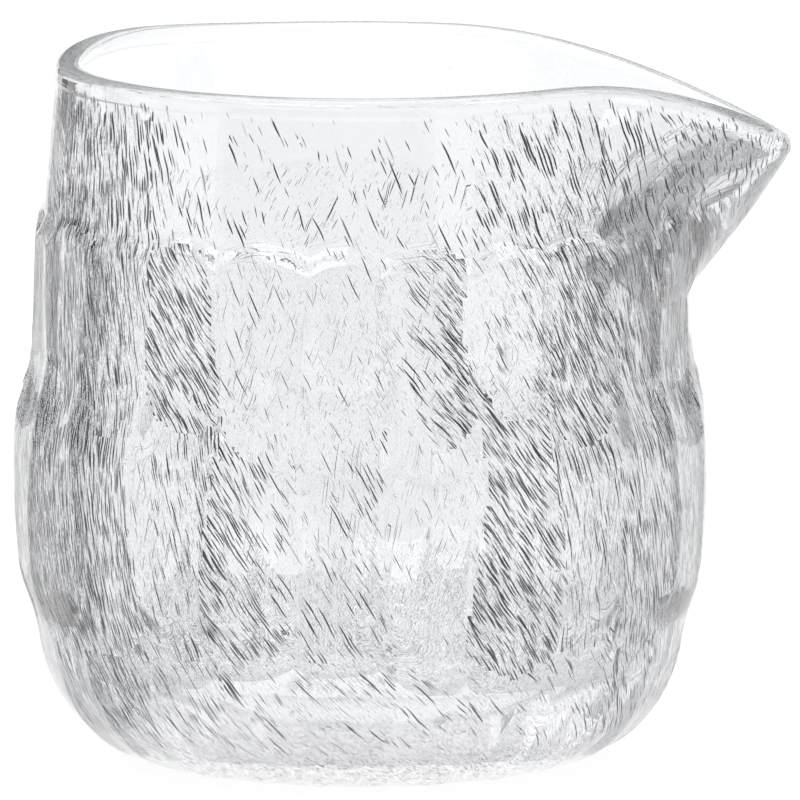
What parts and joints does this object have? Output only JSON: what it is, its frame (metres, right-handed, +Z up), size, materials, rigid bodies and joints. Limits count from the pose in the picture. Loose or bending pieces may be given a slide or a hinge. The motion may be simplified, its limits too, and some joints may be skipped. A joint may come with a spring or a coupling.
{
  "type": "spouted mixing glass",
  "caption": "Squat clear mixing glass with pressed facets, a scratched frosted texture outside, a smooth inside and a drooping pouring lip.",
  "frame": {"origin": "centre of the flat foot, on the surface the glass stands on", "axes": "+Z up along the axis of the round body, +X from the axis towards the tip of the pouring lip"},
  "size_m": [0.1108, 0.0976, 0.0986],
  "materials": {
    "textured_glass": "clear soda-lime glass, finely scratched and etched outside, smooth inside",
    "polished_glass": "clear fire-polished glass"
  },
  "bodies": {
    "root": {"base": "textured_glass", "belly": "textured_glass", "shoulder": "textured_glass", "collar": "textured_glass", "rim": "polished_glass", "pouring_lip": "textured_glass"}
  },
  "joints": []
}
